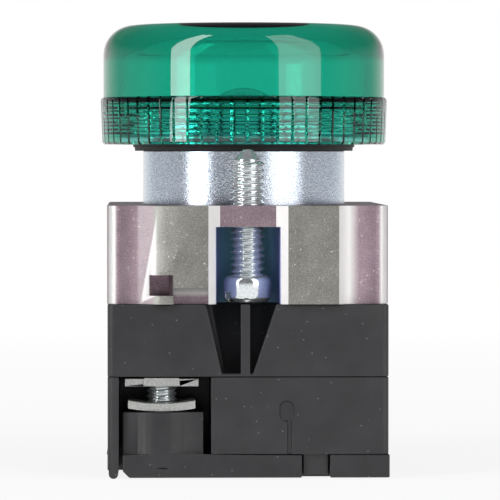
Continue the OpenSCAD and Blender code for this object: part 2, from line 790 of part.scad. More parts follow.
module lamp_glass() {
    neck = cap_r - cap_wall - RUN;
    wall = 0.5;
    dome = glass_top - glass_r;
    outline = concat(
        [[neck - wall, cap_top - 3], [neck, cap_top - 3], [neck, cap_top + 0.2],
         [glass_r, cap_top + 1.2]],
        arc(0, dome, glass_r, 0, 90),
        arc(0, dome, glass_r - wall, 90, 0),
        [[glass_r - wall, cap_top + 1.5], [neck - wall, cap_top + 0.4]]);
    color("#dfe8ea", 0.4) rotate_extrude() polygon(outline);
}

// Glass bead on the neck's floor, two support wires and the hairpin filament
module lamp_filament() {
    low = cap_top - 3;
    high = glass_top - glass_r - 0.5;
    color("#8d8478") union() {
        translate([0, 0, low]) cylinder(r = cap_r - cap_wall - RUN - 0.52, h = 1.2);
        for (x = [-1, 1]) translate([x * 1.6, 0, low + 1]) cylinder(r = 0.2, h = high - low, $fn = 24);
        translate([0, 0, high + 1]) rotate([90, 0, 0])
            rotate_extrude(angle = 180, $fn = 48) translate([1.6, 0]) circle(r = 0.2, $fn = 24);
    }
}

lens();
lens_seal();
head_body();
panel_gasket();
retaining_ring();
fixing_collar();
clamp_screw();
housing_upper();
housing_lower();
rear_cover();
terminal_plate_1();
terminal_plate_2();
clamp_washer_1();
clamp_washer_2();
terminal_screw_1();
terminal_screw_2();
lamp_holder();
bayonet_sleeve();
contact_plunger();
contact_spring();
lamp_cap();
lamp_button();
lamp_tip();
lamp_glass();
lamp_filament();
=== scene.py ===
"""Looks of a panel pilot light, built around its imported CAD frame.

Sizes in the classes are millimetres in the frame's own axes: Z runs up the barrel
to the lens, and the end with the clamp screw faces -Y. A mesh is drawn in
millimetres and turned to metres when it is finished.
"""

import logging
import math
from dataclasses import dataclass, field
from enum import Enum
from typing import Any, Iterable, Sequence

import bmesh
import bpy
from mathutils import Matrix, Vector


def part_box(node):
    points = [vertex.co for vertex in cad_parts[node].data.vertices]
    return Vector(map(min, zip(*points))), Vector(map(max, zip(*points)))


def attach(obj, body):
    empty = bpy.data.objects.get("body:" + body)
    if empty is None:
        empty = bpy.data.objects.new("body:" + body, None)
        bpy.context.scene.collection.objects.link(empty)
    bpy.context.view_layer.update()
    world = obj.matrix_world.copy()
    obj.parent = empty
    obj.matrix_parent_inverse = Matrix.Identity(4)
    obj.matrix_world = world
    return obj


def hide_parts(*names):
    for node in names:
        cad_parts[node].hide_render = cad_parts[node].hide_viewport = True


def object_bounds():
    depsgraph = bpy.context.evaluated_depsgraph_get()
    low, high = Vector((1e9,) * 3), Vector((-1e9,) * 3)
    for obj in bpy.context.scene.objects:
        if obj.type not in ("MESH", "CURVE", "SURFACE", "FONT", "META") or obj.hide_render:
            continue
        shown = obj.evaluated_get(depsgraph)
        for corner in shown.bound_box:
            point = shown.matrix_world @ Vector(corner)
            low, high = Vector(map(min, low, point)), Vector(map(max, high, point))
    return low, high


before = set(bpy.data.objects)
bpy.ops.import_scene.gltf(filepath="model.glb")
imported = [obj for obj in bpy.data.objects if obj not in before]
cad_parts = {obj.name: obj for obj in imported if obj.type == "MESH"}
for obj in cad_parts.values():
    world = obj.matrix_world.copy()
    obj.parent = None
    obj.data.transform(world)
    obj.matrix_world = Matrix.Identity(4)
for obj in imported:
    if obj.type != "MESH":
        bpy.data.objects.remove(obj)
CAD_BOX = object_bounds()

LOG = logging.getLogger("pilot_light")
MM = 0.001
FULL_TURN = 2 * math.pi
MERGE = 0.0005

Point = tuple[float, float]
Shell = bmesh.types.BMesh


class Body(Enum):
    """The moving groups of the light."""

    BASE = "base"
    HEAD = "head"
    SEAL = "seal"
    LENS = "lens"
    CLAMP = "clamp_screw"
    WASHER_1 = "washer_1"
    SCREW_1 = "screw_1"
    WASHER_2 = "washer_2"
    SCREW_2 = "screw_2"
    PLUNGER = "plunger"
    LAMP = "lamp"


# ---- finishes


def linear(colour: str) -> tuple[float, float, float, float]:
    """Turns an sRGB hex colour to linear light.

    Args:
        colour: Six hex digits with a leading #.

    Returns:
        Red, green, blue and an alpha of 1.
    """
    parts = [int(colour[i : i + 2], 16) / 255 for i in (1, 3, 5)]
    red, green, blue = (
        c / 12.92 if c <= 0.04045 else ((c + 0.055) / 1.055) ** 2.4 for c in parts
    )
    return red, green, blue, 1.0


def per_mm(size: float) -> float:
    """Returns the texture scale at which one cell is size millimetres wide."""
    return 1 / (size * MM)


def add_node(
    tree: bpy.types.NodeTree,
    kind: str,
    settings: dict[str, Any] | None = None,
    inputs: dict[str | int, Any] | None = None,
) -> bpy.types.Node:
    """Adds a node with its settings, values and links.

    Args:
        tree: The node tree to add to.
        kind: The node's type name after ShaderNode.
        settings: Properties of the node.
        inputs: Values, or sockets to link from, by input name or number.

    Returns:
        The new node.
    """
    node = tree.nodes.new("ShaderNode" + kind)
    for key, value in (settings or {}).items():
        setattr(node, key, value)
    for key, value in (inputs or {}).items():
        if isinstance(value, bpy.types.NodeSocket):
            tree.links.new(value, node.inputs[key])
        else:
            node.inputs[key].default_value = value
    return node


def ramp(
    tree: bpy.types.NodeTree,
    source: bpy.types.NodeSocket,
    stops: Sequence[tuple[float, str]],
) -> bpy.types.NodeSocket:
    """Turns a value to a colour along stops.

    Args:
        tree: The node tree to add to.
        source: The value, 0 to 1.
        stops: Positions with their hex colours, two or more.

    Returns:
        The colour socket.
    """
    node = add_node(tree, "ValToRGB", inputs={"Fac": source})
    elements = node.color_ramp.elements
    while len(elements) < len(stops):
        elements.new(0.5)
    for element, (place, colour) in zip(elements, stops):
        element.position = place
        element.color = linear(colour)
    return node.outputs["Color"]


def calc(
    tree: bpy.types.NodeTree, operation: str, first: object, second: object = 0.5
) -> bpy.types.NodeSocket:
    """Works out a Math operation.

    Args:
        tree: The node tree to add to.
        operation: The Math node's operation.
        first: The first value, a number or a socket.
        second: The second value, for operations that take one.

    Returns:
        The value socket.
    """
    return add_node(tree, "Math", {"operation": operation}, {0: first, 1: second}).outputs[0]


def remap(
    tree: bpy.types.NodeTree,
    value: bpy.types.NodeSocket,
    span: tuple[float, float],
    onto: tuple[float, float] = (0.0, 1.0),
) -> bpy.types.NodeSocket:
    """Maps a value from one span to another and clamps it there.

    Args:
        tree: The node tree to add to.
        value: The value.
        span: Where the value starts and ends.
        onto: What those two become.

    Returns:
        The value socket.
    """
    inputs = {
        "Value": value,
        "From Min": span[0],
        "From Max": span[1],
        "To Min": onto[0],
        "To Max": onto[1],
    }
    return add_node(tree, "MapRange", inputs=inputs).outputs["Result"]


def blend(
    tree: bpy.types.NodeTree, share: bpy.types.NodeSocket, low: object, high: object
) -> bpy.types.NodeSocket:
    """Mixes two colours.

    Args:
        tree: The node tree to add to.
        share: How much of high, 0 to 1.
        low: The colour at 0, a value or a socket.
        high: The colour at 1, a value or a socket.

    Returns:
        The colour socket.
    """
    mixed = add_node(tree, "Mix", {"data_type": "RGBA"}, {0: share, 6: low, 7: high})
    return mixed.outputs[2]


@dataclass(frozen=True)
class Finish:
    """A material of the light, made once and shared by the pieces that have it."""

    name: str

    def dress(
        self, tree: bpy.types.NodeTree, shader: bpy.types.Node, place: bpy.types.NodeSocket
    ) -> None:
        """Sets the shader and adds the finish's patterns.

        Args:
            tree: The material's node tree.
            shader: Its Principled shader.
            place: The Object coordinates.
        """
        raise NotImplementedError

    def material(self) -> bpy.types.Material:
        """Returns the material, made at the first call."""
        found = bpy.data.materials.get(self.name)
        if found:
            return found
        made = bpy.data.materials.new(self.name)
        made.use_nodes = True
        tree = made.node_tree
        shader = tree.nodes["Principled BSDF"]
        place = add_node(tree, "TexCoord").outputs["Object"]
        self.dress(tree, shader, place)
        return made

    def noise(
        self,
        tree: bpy.types.NodeTree,
        place: bpy.types.NodeSocket,
        size: float,
        detail: float = 3.0,
        roughness: float = 0.55,
    ) -> bpy.types.NodeSocket:
        """Returns a noise of cells size millimetres wide."""
        node = add_node(
            tree,
            "TexNoise",
            inputs={
                "Vector": place,
                "Scale": per_mm(size),
                "Detail": detail,
                "Roughness": roughness,
            },
        )
        return node.outputs["Fac"]

    def spread(
        self, tree: bpy.types.NodeTree, source: bpy.types.NodeSocket, low: float, high: float
    ) -> bpy.types.NodeSocket:
        """Maps the middle of a noise, 0.3 to 0.7, to low and high."""
        return remap(tree, source, (0.3, 0.7), (low, high))

    def bump(
        self,
        tree: bpy.types.NodeTree,
        shader: bpy.types.Node,
        height: bpy.types.NodeSocket,
        depth: float,
        strength: float = 1.0,
        before: bpy.types.NodeSocket | None = None,
    ) -> bpy.types.NodeSocket:
        """Raises the surface by height times depth millimetres.

        Returns:
            The bump's normal, which is linked to the shader.
        """
        inputs = {"Height": height, "Distance": depth * MM, "Strength": strength}
        if before:
            inputs["Normal"] = before
        node = add_node(tree, "Bump", inputs=inputs)
        tree.links.new(node.outputs["Normal"], shader.inputs["Normal"])
        return node.outputs["Normal"]


@dataclass(frozen=True)
class TintedPolycarbonate(Finish):
    """Clear green polycarbonate, injection moulded in a polished mould.

    The tint is in the thickness, so that the rim and the corners are deeper green.
    """

    colour: str = "#f4fffc"
    passed: str = "#32e7dc"
    density: float = 1100.0
    roughness: float = 0.015
    ior: float = 1.585

    def dress(
        self, tree: bpy.types.NodeTree, shader: bpy.types.Node, place: bpy.types.NodeSocket
    ) -> None:
        """Makes the glass-like skin and the tint inside it."""
        shader.inputs["Base Color"].default_value = linear(self.colour)
        shader.inputs["Roughness"].default_value = self.roughness
        shader.inputs["IOR"].default_value = self.ior
        shader.inputs["Transmission Weight"].default_value = 1.0
        inside = add_node(
            tree,
            "VolumeAbsorption",
            inputs={"Color": linear(self.passed), "Density": self.density},
        )
        tree.links.new(
            inside.outputs["Volume"], tree.nodes["Material Output"].inputs["Volume"]
        )


@dataclass(frozen=True)
class PlatedMetal(Finish):
    """Steel with bright zinc plating: pale, faintly blue, with crystals that glint."""

    bright: str = "#e2e9f2"
    dull: str = "#a3b0c0"
    smooth: float = 0.1
    rough: float = 0.18
    cell: float = 3.0
    grain: float = 0.15
    depth: float = 0.016
    metallic: float = 0.95

    def dress(
        self, tree: bpy.types.NodeTree, shader: bpy.types.Node, place: bpy.types.NodeSocket
    ) -> None:
        """Clouds the plating's gloss a little and raises its crystals."""
        crystals = self.noise(tree, place, self.grain, 3.0, 0.7)
        colour = ramp(tree, crystals, [(0.35, self.dull), (0.62, self.bright)])
        tree.links.new(colour, shader.inputs["Base Color"])
        shader.inputs["Metallic"].default_value = self.metallic
        cloud = self.noise(tree, place, self.cell, 4.0, 0.6)
        gloss = self.spread(tree, cloud, self.rough, self.smooth)
        tree.links.new(gloss, shader.inputs["Roughness"])
        self.bump(tree, shader, crystals, self.depth)


@dataclass(frozen=True)
class DieCastZinc(Finish):
    """Die-cast zinc alloy, passivated: mauve to olive grey, gritty, with painted glints.

    The tints go by place: olive on the front pads, mauve elsewhere, and teal to navy in the
    screw's pocket. Slopes and scattered glints get a painted highlight: near-white mixed
    into the colour.
    """

    mauve: str = "#a18d96"
    olive: str = "#9c9b94"
    # near-white of the painted highlight on slopes and glints
    wear_and_painted_highlight: str = "#f2f0ee"
    teal: str = "#a4e0d2"
    blue: str = "#98c6e2"
    navy: str = "#8894cc"
    flow: float = 2.4
    grit: float = 0.13
    # cell size, in millimetres, of the noise for the painted glints
    glint: float = 0.3
    pocket_r: float = 3.4
    pocket_top: float = -8.12
    pocket_back: float = -11.5
    pad_y: float = -19.6
    cloud_shades: tuple[float, float] = (0.86, 1.12)
    grit_shades: tuple[float, float] = (0.55, 1.4)
    glint_span: tuple[float, float] = (0.66, 0.72)
    slope_span: tuple[float, float] = (0.95, 0.86)
    edge_blur: float = 0.04

    def below(
        self, tree: bpy.types.NodeTree, value: bpy.types.NodeSocket, limit: float
    ) -> bpy.types.NodeSocket:
        """Returns 1 where a coordinate is below limit millimetres, and 0 above it."""
        span = ((limit + self.edge_blur) * MM, (limit - self.edge_blur) * MM)
        return remap(tree, value, span)

    def in_pocket(
        self, tree: bpy.types.NodeTree, apart: bpy.types.Node, across: bpy.types.NodeSocket
    ) -> bpy.types.NodeSocket:
        """Returns 1 inside the screw's pocket, and 0 elsewhere."""
        inside = self.below(tree, across, self.pocket_r + 0.05)
        for axis, limit in (("Z", self.pocket_top), ("Y", self.pocket_back)):
            inside = calc(
                tree, "MULTIPLY", inside, self.below(tree, apart.outputs[axis], limit)
            )
        return inside

    def film(
        self, tree: bpy.types.NodeTree, across: bpy.types.NodeSocket
    ) -> bpy.types.NodeSocket:
        """Returns the pocket's tint, from teal at its middle to navy at its walls."""
        share = remap(tree, across, (0.0, self.pocket_r * MM))
        return ramp(tree, share, [(0.45, self.teal), (0.8, self.blue), (0.98, self.navy)])

    def dress(
        self, tree: bpy.types.NodeTree, shader: bpy.types.Node, place: bpy.types.NodeSocket
    ) -> None:
        """Tints front pads olive, the rest mauve, and paints highlights on slopes and glints."""
        apart = add_node(tree, "SeparateXYZ", inputs={0: place})
        across = calc(tree, "ABSOLUTE", apart.outputs["X"])
        clouds = self.noise(tree, place, self.flow, 4.0, 0.6)
        grit = self.noise(tree, place, self.grit, 3.0, 0.8)
        on_pad = self.below(tree, apart.outputs["Y"], self.pad_y)
        skin = blend(tree, on_pad, linear(self.mauve), linear(self.olive))
        shade = calc(
            tree,
            "MULTIPLY",
            self.spread(tree, clouds, *self.cloud_shades),
            self.spread(tree, grit, *self.grit_shades),
        )
        skin = add_node(
            tree, "VectorMath", {"operation": "SCALE"}, {0: skin, "Scale": shade}
        ).outputs[0]
        # painted highlight: slopes and scattered glints are mixed toward near-white
        bright = blend(tree, self.painted_highlight_mask(tree, place), skin, linear(self.wear_and_painted_highlight))
        pocket = self.in_pocket(tree, apart, across)
        tinted = blend(tree, pocket, bright, self.film(tree, across))
        tree.links.new(tinted, shader.inputs["Base Color"])
        tree.links.new(self.spread(tree, pocket, 0.85, 0.3), shader.inputs["Metallic"])
        tree.links.new(self.spread(tree, grit, 0.34, 0.5), shader.inputs["Roughness"])
        marks = self.bump(tree, shader, clouds, 0.03)
        self.bump(tree, shader, grit, 0.03, before=marks)

    def painted_highlight_mask(
        self, tree: bpy.types.NodeTree, place: bpy.types.NodeSocket
    ) -> bpy.types.NodeSocket:
        """Returns a painted highlight: 1 on slopes facing no axis squarely, 0.8 on scattered
        glints.
        """
        # painted highlight on slopes, by how far the normal leans from every axis
        facing = add_node(tree, "TexCoord").outputs["Normal"]
        sides = add_node(tree, "VectorMath", {"operation": "ABSOLUTE"}, {0: facing})
        parts = add_node(tree, "SeparateXYZ", inputs={0: sides.outputs[0]}).outputs
        most = calc(tree, "MAXIMUM", parts["X"], parts["Y"])
        most = calc(tree, "MAXIMUM", most, parts["Z"])
        slope = remap(tree, most, self.slope_span)
        # painted glints: scattered noise peaks take part of the painted highlight
        spots = self.noise(tree, place, self.glint, 2.0, 0.9)
        glints = remap(tree, spots, self.glint_span, (0.0, 0.8))
        return calc(tree, "MAXIMUM", slope, glints)


@dataclass(frozen=True)
class MouldedPolyamide(Finish):
    """Black glass-filled polyamide, moulded in a finely eroded mould.

    The grain breaks up highlights, and stray fibre ends show as pale specks.
    """

    colour: str = "#2b2b2d"
    # the paler random tone of the cloudy black; no highlight is painted here
    wear_and_painted_highlight: str = "#353537"
    grain: float = 0.14
    roughness: float = 0.5

    def dress(
        self, tree: bpy.types.NodeTree, shader: bpy.types.Node, place: bpy.types.NodeSocket
    ) -> None:
        """Lays a cloudy black with specks over a fine grain."""
        cloud = self.noise(tree, place, 4.0, 4.0)
        base = ramp(tree, cloud, [(0.35, self.colour), (0.7, self.wear_and_painted_highlight)])
        speck = add_node(
            tree,
            "TexVoronoi",
            {"feature": "F1"},
            {"Vector": place, "Scale": per_mm(1.1), "Randomness": 1.0},
        )
        near = remap(tree, speck.outputs["Distance"], (0.05, 0.085), (0.55, 0.0))
        mixed = blend(tree, near, base, linear("#8a8a8c"))
        tree.links.new(mixed, shader.inputs["Base Color"])
        grain = self.noise(tree, place, self.grain, 3.0, 0.6)
        rough = self.spread(tree, grain, self.roughness - 0.07, self.roughness + 0.07)
        tree.links.new(rough, shader.inputs["Roughness"])
        shader.inputs["IOR"].default_value = 1.53
        self.bump(tree, shader, grain, 0.012)


@dataclass(frozen=True)
class NitrileRubber(Finish):
    """Black nitrile rubber, moulded: dull, with a faint bloom."""

    colour: str = "#161617"
    bloom: str = "#262627"

    def dress(
        self, tree: bpy.types.NodeTree, shader: bpy.types.Node, place: bpy.types.NodeSocket
    ) -> None:
        """Lays the bloom over the black."""
        cloud = self.noise(tree, place, 0.9)
        colour = ramp(tree, cloud, [(0.4, self.colour), (0.75, self.bloom)])
        tree.links.new(colour, shader.inputs["Base Color"])
        shader.inputs["Roughness"].default_value = 0.62
        shader.inputs["IOR"].default_value = 1.52
        self.bump(tree, shader, self.noise(tree, place, 0.2), 0.01)


@dataclass(frozen=True)
class PlainMetal(Finish):
    """A small turned or drawn metal piece: even colour with fine drawing marks."""

    colour: str = "#cbb98c"
    roughness: float = 0.25

    def dress(
        self, tree: bpy.types.NodeTree, shader: bpy.types.Node, place: bpy.types.NodeSocket
    ) -> None:
        """Sets the metal and marks it finely."""
        tree.links.new(
            ramp(tree, self.noise(tree, place, 1.2), [(0.3, self.colour), (0.8, "#e8e2d2")]),
            shader.inputs["Base Color"],
        )
        shader.inputs["Metallic"].default_value = 1.0
        shader.inputs["Roughness"].default_value = self.roughness
        self.bump(tree, shader, self.noise(tree, place, 0.12, 1.0), 0.003)


@dataclass(frozen=True)
class ClearGlass(Finish):
    """Blown soda-lime glass of the lamp: clear, with a trace of ripple."""

    def dress(
        self, tree: bpy.types.NodeTree, shader: bpy.types.Node, place: bpy.types.NodeSocket
    ) -> None:
        """Sets the glass and ripples it."""
        shader.inputs["Base Color"].default_value = linear("#fbfcfb")
        shader.inputs["Roughness"].default_value = 0.01
        shader.inputs["IOR"].default_value = 1.52
        shader.inputs["Transmission Weight"].default_value = 1.0
        self.bump(tree, shader, self.noise(tree, place, 4.0, 1.0), 0.02)


class Finishes:
    """The finishes of this light."""

    LENS = TintedPolycarbonate("polycarbonate_green_moulded")
    BARREL = PlatedMetal("steel_zinc_plated_turned")
    CASTING = DieCastZinc("zinc_alloy_die_cast")
    SCREW = PlatedMetal(
        "steel_zinc_plated_rolled_thread", "#f4f6f6", "#dbe4e6", 0.08, 0.16, 1.5, 0.25, 0.003, 0.8
    )
    PLATE = PlatedMetal(
        "steel_zinc_plated_stamped", "#dededa", "#bfc2bf", 0.24, 0.42, 1.2, 0.15, 0.012
    )
    HOUSING = MouldedPolyamide("polyamide_black_moulded")
    COVER = MouldedPolyamide("polyamide_black_moulded_fine", "#29292b", "#333335", 0.12, 0.46)
    HOLDER = MouldedPolyamide("polyester_grey_moulded", "#4b4b4d", "#58585a", 0.16, 0.6)
    RUBBER = NitrileRubber("nitrile_rubber_moulded")
    BRASS = PlainMetal("brass_nickel_plated_drawn", "#c9b88e", 0.22)
    SPRING = PlainMetal("spring_steel_drawn_wire", "#9aa0a6", 0.3)
    SOLDER = PlainMetal("tin_solder", "#b4b5b6", 0.38)
    TUNGSTEN = PlainMetal("tungsten_coiled_wire", "#8f8f92", 0.4)
    VITRITE = NitrileRubber("vitrite_glass_black", "#151314", "#201c1c")
    GLASS = ClearGlass("soda_lime_glass_blown")


# ---- meshes


def turned(
    points: Sequence[Point], steps: int, closed: bool = True, angle: float = FULL_TURN
) -> Shell:
    """Turns an outline about the Z axis.

    Args:
        points: Radius and height of each corner, in order.
        steps: Steps of the turn.
        closed: True joins the last corner to the first; an outline that starts
            and ends on the axis stays open.
        angle: How far it turns.

    Returns:
        The turned shell.
    """
    shell = bmesh.new()
    verts = [shell.verts.new((r, 0, z)) for r, z in points]
    pairs = list(zip(verts, verts[1:]))
    if closed:
        pairs.append((verts[-1], verts[0]))
    edges = [shell.edges.new(pair) for pair in pairs]
    bmesh.ops.spin(
        shell,
        geom=verts + edges,
        cent=(0, 0, 0),
        axis=(0, 0, 1),
        dvec=(0, 0, 0),
        angle=angle,
        steps=steps,
        use_merge=angle == FULL_TURN,
        use_duplicate=False,
    )
    bmesh.ops.remove_doubles(shell, verts=shell.verts, dist=MERGE)
    bmesh.ops.dissolve_degenerate(shell, dist=MERGE / 10, edges=shell.edges)
    bmesh.ops.recalc_face_normals(shell, faces=shell.faces)
    return shell


def rounded(
    points: Sequence[Point], radii: dict[int, float], segments: int = 6
) -> list[Point]:
    """Rounds corners of an outline.

    Args:
        points: The outline's corners.
        radii: Radius of each rounding, by corner number.
        segments: Edges of each rounding.

    Returns:
        The outline with its rounded corners, in order from the first point.
    """
    spots = [Vector((r, 0, z)) for r, z in points]
    result: list[Point] = []
    for index, here in enumerate(spots):
        if index not in radii:
            result.append((here.x, here.z))
            continue
        back = (spots[index - 1] - here).normalized()
        ahead = (spots[(index + 1) % len(spots)] - here).normalized()
        half = back.angle(ahead) / 2
        start = here + back * radii[index] / math.tan(half)
        centre = here + (back + ahead).normalized() * radii[index] / math.sin(half)
        turn = math.pi - 2 * half
        sign = 1 if back.cross(ahead).y < 0 else -1
        for step in range(segments + 1):
            arm = Matrix.Rotation(sign * turn * step / segments, 3, "Y") @ (start - centre)
            result.append(((centre + arm).x, (centre + arm).z))
    return result


def threaded(
    major: float, minor: float, pitch: float, low: float, high: float, steps: int = 40
) -> Shell:
    """Cuts a screw thread: one tooth spun up its helix and cut off flat at both ends.

    Args:
        major: Radius over the crests.
        minor: Radius in the roots.
        pitch: Rise of one turn.
        low: Height of the lower end.
        high: Height of the upper end.
        steps: Steps of each turn.

    Returns:
        The closed rod.
    """
    shell = bmesh.new()
    start = low - 1.5 * pitch
    tooth = [(minor, 0.0), (minor, 0.1), (major, 0.42), (major, 0.56), (minor, 0.9), (minor, 1.0)]
    verts = [shell.verts.new((r, 0, start + z * pitch)) for r, z in tooth]
    edges = [shell.edges.new(pair) for pair in zip(verts, verts[1:])]
    turns = math.ceil((high - low) / pitch) + 3
    bmesh.ops.spin(
        shell,
        geom=verts + edges,
        cent=(0, 0, 0),
        axis=(0, 0, 1),
        dvec=(0, 0, pitch / steps),
        angle=FULL_TURN * turns,
        steps=steps * turns,
        use_merge=False,
        use_duplicate=False,
    )
    bmesh.ops.remove_doubles(shell, verts=shell.verts, dist=MERGE)
    for height, outer in ((low, False), (high, True)):
        bmesh.ops.bisect_plane(
            shell,
            geom=list(shell.verts) + list(shell.edges) + list(shell.faces),
            dist=MERGE / 5,
            plane_co=(0, 0, height),
            plane_no=(0, 0, 1),
            clear_outer=outer,
            clear_inner=not outer,
        )
    bmesh.ops.holes_fill(shell, edges=[e for e in shell.edges if e.is_boundary], sides=0)
    bmesh.ops.recalc_face_normals(shell, faces=shell.faces)
    return shell


def frame_copy(node: str) -> Shell:
    """Copies a CAD node's mesh, in millimetres, with its triangles merged to faces."""
    shell = bmesh.new()
    shell.from_mesh(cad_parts[node].data)
    bmesh.ops.scale(shell, vec=(1 / MM,) * 3, verts=shell.verts)
    bmesh.ops.remove_doubles(shell, verts=shell.verts, dist=MERGE)
    bmesh.ops.dissolve_limit(
        shell,
        angle_limit=math.radians(0.6),
        use_dissolve_boundaries=False,
        verts=shell.verts,
        edges=shell.edges,
        delimit=set(),
    )
    return shell


def cut_flat(shell: Shell, height: float, keep_below: bool) -> Shell:
    """Cuts a shell flat at a height, closes it and keeps one side.

    Args:
        shell: The shell, which is changed.
        height: Height of the cut.
        keep_below: True keeps what is below it.

    Returns:
        The same shell.
    """
    bmesh.ops.bisect_plane(
        shell,
        geom=list(shell.verts) + list(shell.edges) + list(shell.faces),
        dist=MERGE / 5,
        plane_co=(0, 0, height),
        plane_no=(0, 0, 1),
        clear_outer=keep_below,
        clear_inner=not keep_below,
    )
    bmesh.ops.holes_fill(shell, edges=[e for e in shell.edges if e.is_boundary], sides=0)
    return shell


def moved(shell: Shell, x: float, y: float, z: float = 0.0) -> Shell:
    """Moves a shell and returns it."""
    bmesh.ops.translate(shell, vec=(x, y, z), verts=shell.verts)
    return shell


@dataclass
class Piece:
    """One finished piece: which body it rides on, its finish and the nodes it replaces."""

    name: str
    body: Body
    slot: str
    finish: Finish
    stands_for: tuple[str, ...] = ()
    smooth_deg: float = 32.0
    bevel: float = 0.0
    bevel_segments: int = 2

    def make(self, shells: Iterable[Shell]) -> bpy.types.Object:
        """Joins shells to one mesh in metres, dresses it and hangs it on its body.

        Args:
            shells: The parts of the piece, which are freed.

        Returns:
            The piece's object.
        """
        whole = bmesh.new()
        for shell in shells:
            part = bpy.data.meshes.new("part")
            shell.to_mesh(part)
            shell.free()
            whole.from_mesh(part)
            bpy.data.meshes.remove(part)
        bmesh.ops.scale(whole, vec=(MM, MM, MM), verts=whole.verts)
        mesh = bpy.data.meshes.new(self.name)
        whole.to_mesh(mesh)
        whole.free()
        mesh.polygons.foreach_set("use_smooth", [True] * len(mesh.polygons))
        mesh.set_sharp_from_angle(angle=math.radians(self.smooth_deg))
        mesh.materials.append(self.finish.material())
        made = bpy.data.objects.new(self.name, mesh)
        bpy.context.scene.collection.objects.link(made)
        if self.bevel:
            self.add_bevel(made)
        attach(made, self.body.value)
        if self.stands_for:
            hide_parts(*self.stands_for)
        LOG.info("%s: %d faces on %s", self.name, len(mesh.polygons), self.body.value)
        return made

    def add_bevel(self, made: bpy.types.Object) -> None:
        """Breaks the piece's sharp edges by bevel millimetres."""
        edge = made.modifiers.new("edge_break", "BEVEL")
        edge.width = self.bevel * MM
        edge.segments = self.bevel_segments
        edge.limit_method = "ANGLE"
        edge.angle_limit = math.radians(40)
        edge.use_clamp_overlap = False
        edge.harden_normals = True


def keep_node(node: str, finish: Finish) -> None:
    """Gives a CAD node that is shown as it is its finish.

    Args:
        node: The node's name.
        finish: Its finish.
    """
    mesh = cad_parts[node].data
    mesh.materials.clear()
    mesh.materials.append(finish.material())
    LOG.info("%s: CAD node in %s", node, finish.name)


# ---- lens and head


@dataclass
class Lens:
    """The green cap: a polished dome above a ribbed rim, threaded inside."""

    ribs: int = 60
    steps_per_rib: int = 10
    rib_depth: float = 0.2
    wall: float = 2.05
    top_wall: float = 1.55
    inner_fillet: float = 2.4
    fillet: float = 3.3
    crown: float = 0.25
    lip: float = 0.3
    draft: float = 0.17
    rim_h: float = 5.2
    thread_pitch: float = 0.75
    thread_depth: float = 0.4

    def outline(self) -> list[Point]:
        """Returns the section of the cap, from the foot of the rim round and back."""
        low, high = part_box("lens")
        rim_r, rim_z, top = high.x / MM, low.z / MM, high.z / MM
        step_z = rim_z + self.rim_h
        side_r = rim_r - self.lip
        cavity_r = side_r - self.wall
        thread_r = cavity_r + 0.55
        inner_top = top - self.crown - self.top_wall
        shoulder = top - self.crown
        outside = [
            (thread_r + 0.25, rim_z),
            (rim_r - self.draft - 0.25, rim_z),
            (rim_r - self.draft, rim_z + 0.25),
            (rim_r, step_z - 0.35),
            (rim_r - 0.1, step_z - 0.1),
            (rim_r - 0.3, step_z),
            (side_r, step_z + 0.08),
            (side_r, shoulder),
            (0.0, top),
        ]
        outside = rounded(outside, {7: self.fillet}, 14)
        ceiling = [(0.0, inner_top + 0.1), (cavity_r, inner_top), (cavity_r, step_z - 0.1)]
        ceiling = rounded(ceiling, {1: self.inner_fillet}, 12)
        threads = [(thread_r, step_z - 0.1)]
        z = step_z - 0.45
        while z - self.thread_pitch > rim_z + 0.3:
            threads += [
                (thread_r, z),
                (thread_r + self.thread_depth, z - 0.36 * self.thread_pitch),
                (thread_r + self.thread_depth, z - 0.5 * self.thread_pitch),
                (thread_r, z - 0.86 * self.thread_pitch),
            ]
            z -= self.thread_pitch
        return outside + ceiling + threads + [(thread_r, rim_z + 0.25)]

    def build(self) -> None:
        """Turns one rib's sector of the cap, shapes the rib and repeats it all round."""
        low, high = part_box("lens")
        rim_r = high.x / MM
        side_r = rim_r - self.lip
        step_z = low.z / MM + self.rim_h
        points = self.outline()
        shell = bmesh.new()
        verts = [shell.verts.new((r, 0, z)) for r, z in points]
        pairs = list(zip(verts, verts[1:]))
        pairs = [p for p in pairs if p[0].co.x > MERGE or p[1].co.x > MERGE]
        pairs.append((verts[-1], verts[0]))
        edges = [shell.edges.new(pair) for pair in pairs]
        sector = FULL_TURN / self.ribs
        bmesh.ops.spin(
            shell,
            geom=verts + edges,
            cent=(0, 0, 0),
            axis=(0, 0, 1),
            dvec=(0, 0, 0),
            angle=sector,
            steps=self.steps_per_rib,
            use_merge=False,
            use_duplicate=False,
        )
        for vert in shell.verts:
            radius = math.hypot(vert.co.x, vert.co.y)
            if radius < side_r - 0.35 or vert.co.z > step_z - 0.05:
                continue
            share = math.atan2(vert.co.y, vert.co.x) / sector
            dip = max(0.0, 5 * abs(2 * share - 1) - 4)
            inner = radius - self.rib_depth * dip
            vert.co.xy *= inner / radius
        bmesh.ops.spin(
            shell,
            geom=list(shell.verts) + list(shell.edges) + list(shell.faces),
            cent=(0, 0, 0),
            axis=(0, 0, 1),
            dvec=(0, 0, 0),
            angle=FULL_TURN - sector,
            steps=self.ribs - 1,
            use_merge=False,
            use_duplicate=True,
        )
        bmesh.ops.remove_doubles(shell, verts=shell.verts, dist=MERGE)
        bmesh.ops.dissolve_degenerate(shell, dist=MERGE / 10, edges=shell.edges)
        bmesh.ops.recalc_face_normals(shell, faces=shell.faces)
        Piece(
            "lens_cap", Body.LENS, "lens_green", Finishes.LENS, ("lens",), smooth_deg=38
        ).make([shell])


